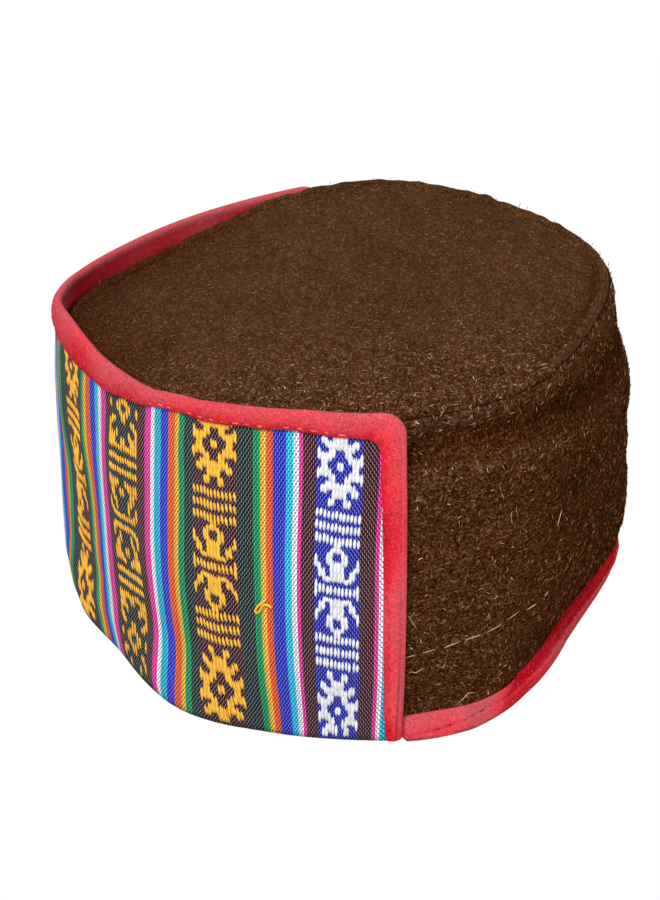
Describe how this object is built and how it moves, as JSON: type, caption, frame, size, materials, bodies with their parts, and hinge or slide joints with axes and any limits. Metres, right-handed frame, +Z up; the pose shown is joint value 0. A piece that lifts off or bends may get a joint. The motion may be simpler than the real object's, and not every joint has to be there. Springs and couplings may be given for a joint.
{
  "type": "himachali topi",
  "caption": "Round flat-topped woollen cap with a striped woven band round its front and red cloth binding on the band's edges and the hem.",
  "frame": {"origin": "middle of the cap's box, on the surface that its hem stands on", "axes": "+Z up through the crown, -Y out through the middle of the striped front band, +X to the side seen with the band's near end"},
  "size_m": [0.1992, 0.1896, 0.1062],
  "materials": {
    "brown_wool": "fuzzy brown woollen tweed with light fibres",
    "woven_band": "matt handloom weave in bright vertical stripes with small traditional figures",
    "red_binding": "matt plain-woven cotton tape"
  },
  "bodies": {
    "root": {"crown_top": "brown_wool", "crown_side": "brown_wool", "front_band": "woven_band", "band_binding": "red_binding", "hem_binding": "red_binding"}
  },
  "joints": []
}
